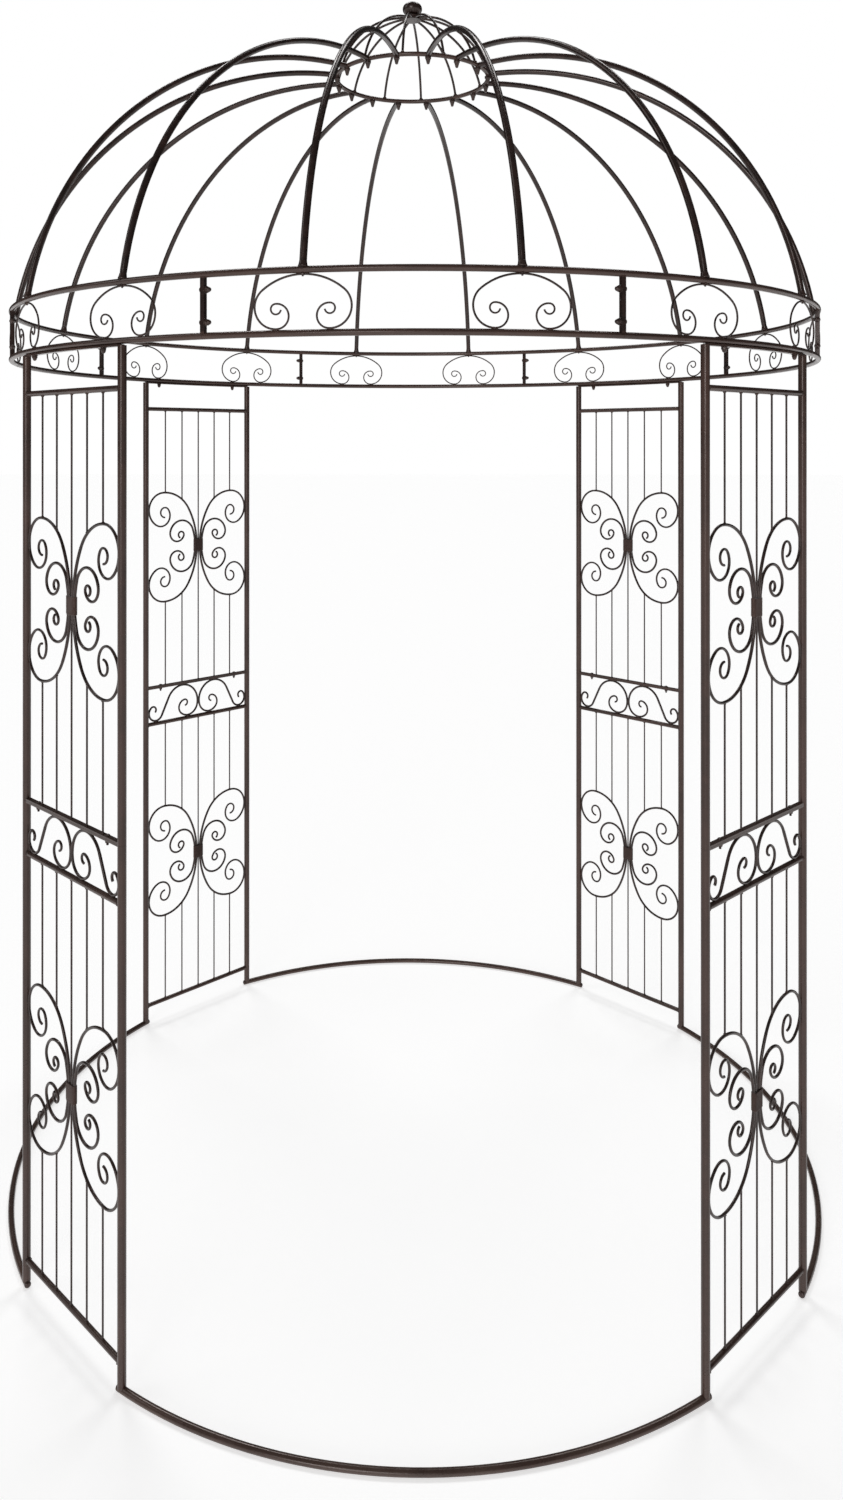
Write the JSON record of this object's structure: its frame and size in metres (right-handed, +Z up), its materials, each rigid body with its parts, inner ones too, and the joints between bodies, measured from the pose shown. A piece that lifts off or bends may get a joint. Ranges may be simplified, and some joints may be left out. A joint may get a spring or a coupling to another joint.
{
  "type": "metal garden pavilion",
  "caption": "Round open garden pavilion of brown painted steel tube, with scrolled lattice side panels, a scrolled frieze and a ribbed dome under a small caged crown.",
  "frame": {"origin": "on the ground, at the middle of the round plan", "axes": "+Z up, the front doorway faces -Y"},
  "size_m": [1.977, 1.977, 2.9163],
  "materials": {
    "brown_paint": "satin dark brown paint on steel"
  },
  "bodies": {
    "root": {"ground_tube_front": "brown_paint", "ground_tube_right": "brown_paint", "ground_tube_back": "brown_paint", "ground_tube_left": "brown_paint", "lower_panel_front_right": "brown_paint", "lower_panel_back_right": "brown_paint", "lower_panel_back_left": "brown_paint", "lower_panel_front_left": "brown_paint", "upper_panel_front_right": "brown_paint", "upper_panel_back_right": "brown_paint", "upper_panel_back_left": "brown_paint", "upper_panel_front_left": "brown_paint", "frieze_front": "brown_paint", "frieze_front_right": "brown_paint", "frieze_right": "brown_paint", "frieze_back_right": "brown_paint", "frieze_back": "brown_paint", "frieze_back_left": "brown_paint", "frieze_left": "brown_paint", "frieze_front_left": "brown_paint", "rib_01": "brown_paint", "rib_02": "brown_paint", "rib_03": "brown_paint", "rib_04": "brown_paint", "rib_05": "brown_paint", "rib_06": "brown_paint", "rib_07": "brown_paint", "rib_08": "brown_paint", "rib_09": "brown_paint", "rib_10": "brown_paint", "rib_11": "brown_paint", "rib_12": "brown_paint", "rib_13": "brown_paint", "rib_14": "brown_paint", "rib_15": "brown_paint", "rib_16": "brown_paint", "crown": "brown_paint", "knob": "brown_paint"}
  },
  "joints": []
}
